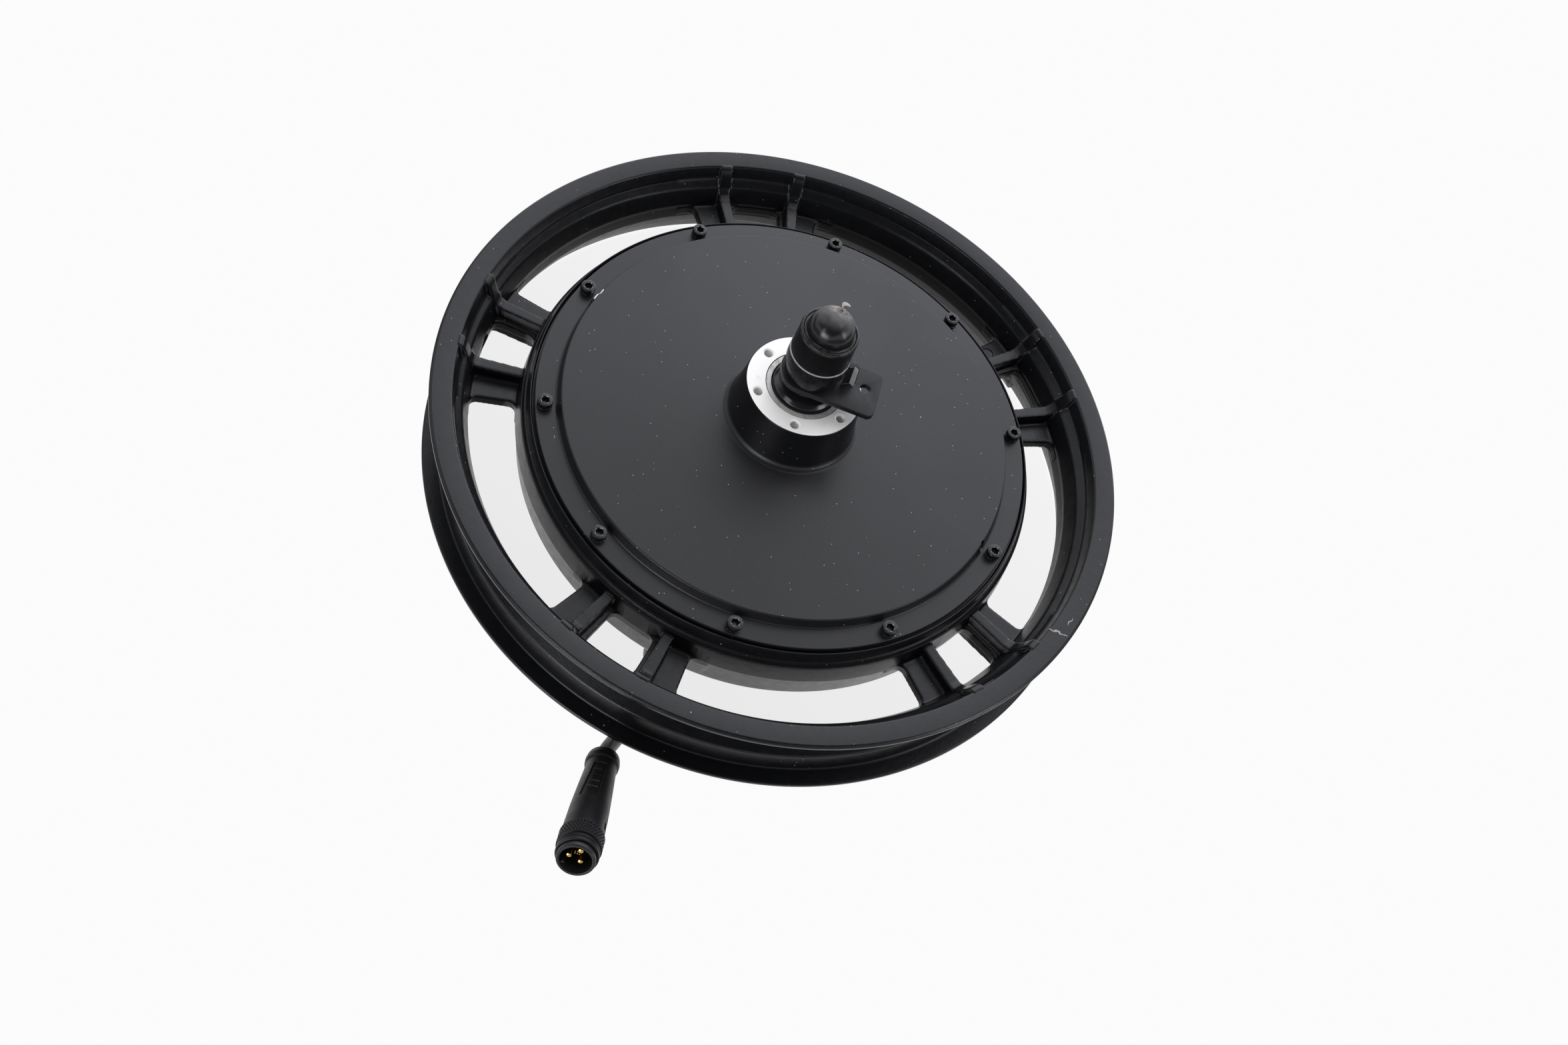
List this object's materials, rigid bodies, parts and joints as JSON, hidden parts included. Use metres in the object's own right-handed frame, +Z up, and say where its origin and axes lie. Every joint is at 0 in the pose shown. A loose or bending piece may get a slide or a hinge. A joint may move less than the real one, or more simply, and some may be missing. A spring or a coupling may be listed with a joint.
{
  "type": "hub motor wheel",
  "caption": "Spoked cast wheel with a gearless electric motor in its hub, threaded axle, torque plate, brake disc seat and a cable ending in a round screw-lock plug.",
  "frame": {"origin": "centre of the wheel: on its spin axis and in the mid-plane of the rim; the centroid of all solids lies within 1.5 mm of it", "axes": "+Y along the axle from the brake side to the cable side, +Z up, +X completes the right-handed frame"},
  "size_m": [0.3208, 0.2101, 0.3654],
  "materials": {
    "black_casting": "satin black powder coat over cast aluminium",
    "charcoal_cover": "matt charcoal powder coat over machined aluminium",
    "blackened_steel": "black oxide or black zinc, satin",
    "bare_steel": "ground bearing steel",
    "electrical_steel": "stacked electrical steel sheet",
    "magnet_plating": "nickel plated magnets",
    "enamelled_copper": "enamelled copper wire, varnished",
    "cast_aluminium": "as-cast aluminium",
    "board": "green circuit board",
    "lead_insulation": "woven lead sleeve",
    "black_rubber": "moulded black rubber",
    "cable_jacket": "black cable jacket, satin",
    "black_plastic": "moulded black plastic, fine texture",
    "gold_pin": "gold plated contact"
  },
  "bodies": {
    "axle_group": {"axle": "bare_steel", "axle_key": "bare_steel", "stator_spider": "cast_aluminium", "lamination_stack": "electrical_steel", "phase_windings": "enamelled_copper", "hall_sensor_board": "board", "phase_leads": "lead_insulation", "brake_bearing_inner_race": "bare_steel", "cable_bearing_inner_race": "bare_steel", "brake_side_dust_ring": "black_rubber", "brake_side_spacer": "blackened_steel", "torque_plate": "blackened_steel", "brake_side_lock_washer": "blackened_steel", "brake_axle_nut": "blackened_steel", "brake_axle_cap": "black_rubber", "cable_side_spacer": "blackened_steel", "cable_side_washer": "blackened_steel", "cable_axle_nut": "blackened_steel", "cable_grommet": "black_rubber", "motor_cable": "cable_jacket", "plug_body": "black_plastic", "plug_insert": "black_plastic", "power_pin_1": "gold_pin", "power_pin_2": "gold_pin", "power_pin_3": "gold_pin"},
    "wheel": {"cast_wheel": "black_casting", "back_iron_ring": "electrical_steel", "magnet_ring": "magnet_plating", "brake_side_cover": "charcoal_cover", "cable_side_cover": "charcoal_cover", "brake_bearing_outer_race": "bare_steel", "cable_bearing_outer_race": "bare_steel", "brake_bearing_shield": "black_rubber", "cable_side_oil_seal": "black_rubber", "brake_cover_screw_1": "blackened_steel", "brake_cover_screw_2": "blackened_steel", "brake_cover_screw_3": "blackened_steel", "brake_cover_screw_4": "blackened_steel", "brake_cover_screw_5": "blackened_steel", "brake_cover_screw_6": "blackened_steel", "brake_cover_screw_7": "blackened_steel", "brake_cover_screw_8": "blackened_steel", "brake_cover_screw_9": "blackened_steel", "brake_cover_screw_10": "blackened_steel", "cable_cover_screw_1": "blackened_steel", "cable_cover_screw_2": "blackened_steel", "cable_cover_screw_3": "blackened_steel", "cable_cover_screw_4": "blackened_steel", "cable_cover_screw_5": "blackened_steel", "cable_cover_screw_6": "blackened_steel", "cable_cover_screw_7": "blackened_steel", "cable_cover_screw_8": "blackened_steel", "cable_cover_screw_9": "blackened_steel", "cable_cover_screw_10": "blackened_steel"},
    "brake_cage": {"brake_bearing_cage": "bare_steel"},
    "cable_cage": {"cable_bearing_cage": "bare_steel"},
    "coupling_ring": {"plug_coupling_ring": "black_plastic"}
  },
  "joints": [
    {"name": "wheel_spin", "type": "hinge", "parent": "axle_group", "child": "wheel", "pos_m": [0, 0, 0], "axis": [0, 1, 0], "continuous": true},
    {"name": "brake_cage_spin", "type": "hinge", "parent": "axle_group", "child": "brake_cage", "pos_m": [0, -0.0435, 0], "axis": [0, 1, 0], "continuous": true},
    {"name": "cable_cage_spin", "type": "hinge", "parent": "axle_group", "child": "cable_cage", "pos_m": [0, 0.0304, 0], "axis": [0, 1, 0], "continuous": true},
    {"name": "coupling_ring_spin", "type": "hinge", "parent": "axle_group", "child": "coupling_ring", "pos_m": [-0.1012, -0.006, -0.201], "axis": [-0.2821, -0.4702, -0.8363], "continuous": true}
  ],
  "couplings": [
    {"joint": "brake_cage_spin", "follows": "wheel_spin", "ratio": 0.57},
    {"joint": "cable_cage_spin", "follows": "wheel_spin", "ratio": 0.57}
  ]
}
